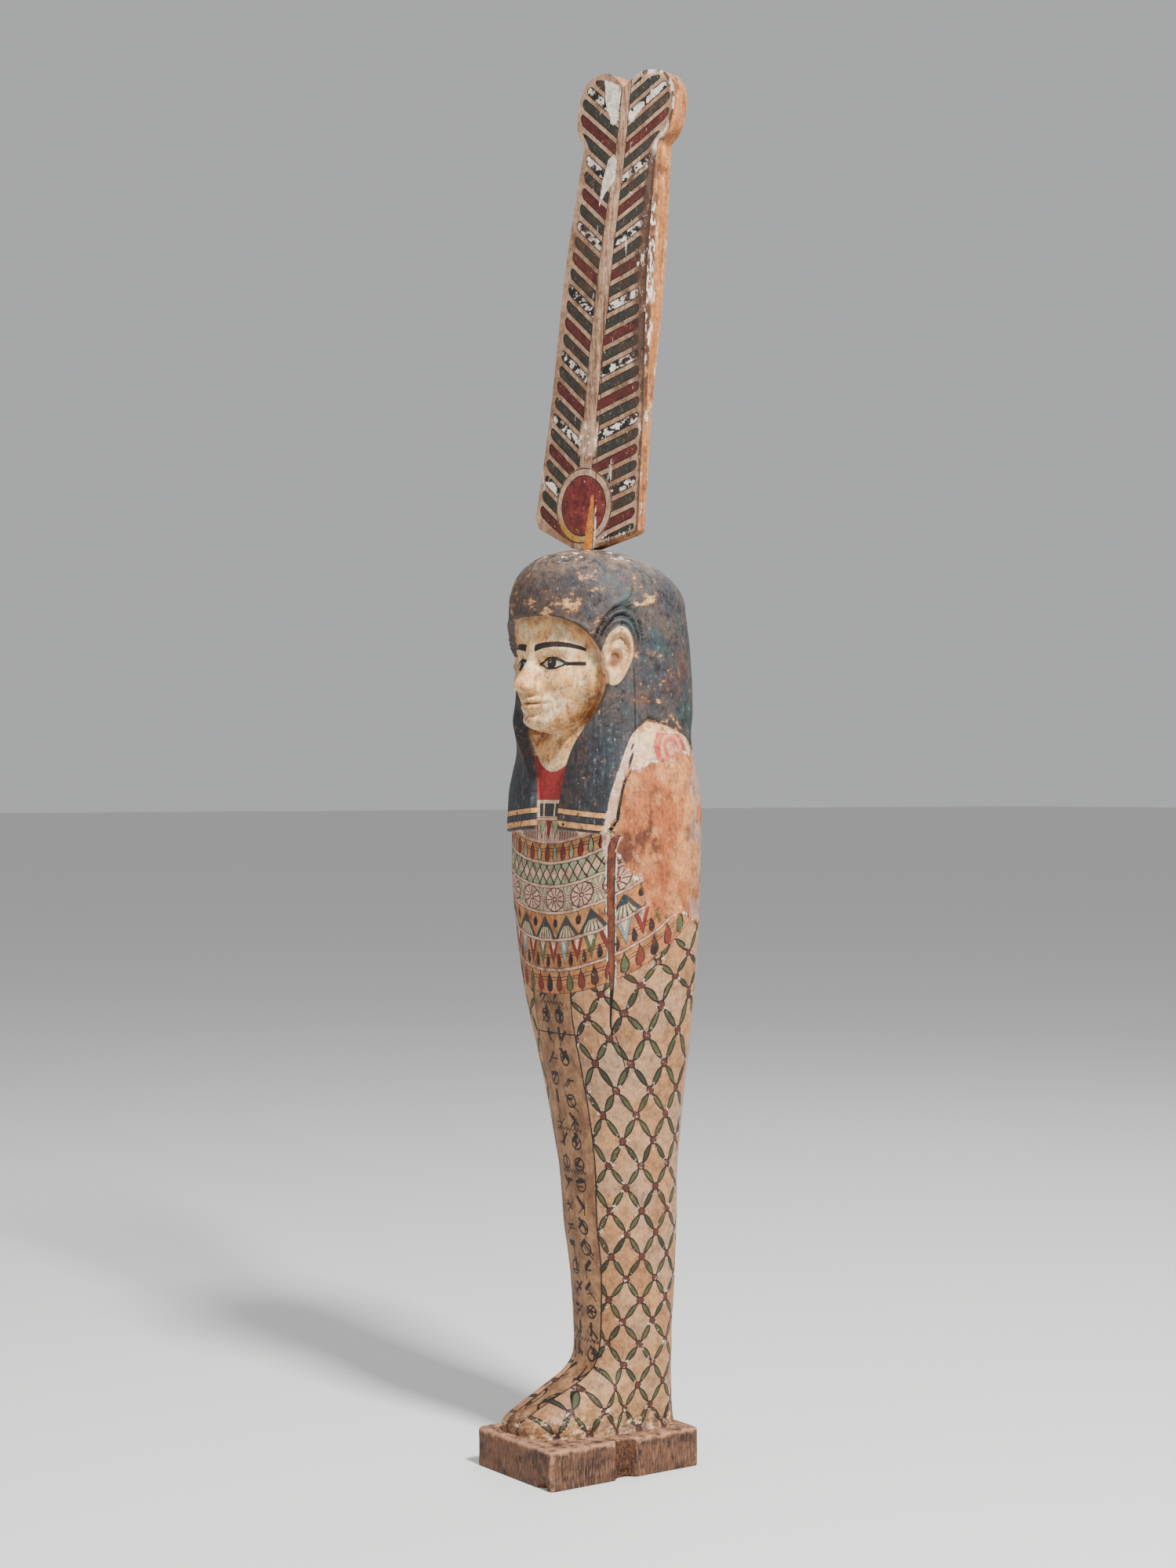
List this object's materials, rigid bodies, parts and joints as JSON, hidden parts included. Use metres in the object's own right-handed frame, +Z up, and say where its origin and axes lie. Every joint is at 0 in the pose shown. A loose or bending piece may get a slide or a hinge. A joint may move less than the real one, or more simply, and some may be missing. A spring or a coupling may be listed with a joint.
{
  "type": "ptah-sokar-osiris figure",
  "caption": "Painted wooden mummiform funerary statuette with a plain dark wig with banded lappets, a bead collar and a bead net, standing on its own plinth under a tall double-plume crown.",
  "frame": {"origin": "middle of the plinth's flat underside", "axes": "+Z up along the figure, -Y towards the front the figure faces, +X towards the figure's own left side"},
  "size_m": [0.1172, 0.1021, 0.7478],
  "materials": {
    "painted_wood": "matte",
    "plume_paint": "matte"
  },
  "bodies": {
    "root": {"mummiform_figure": "painted_wood", "plume_crown": "plume_paint"}
  },
  "joints": []
}
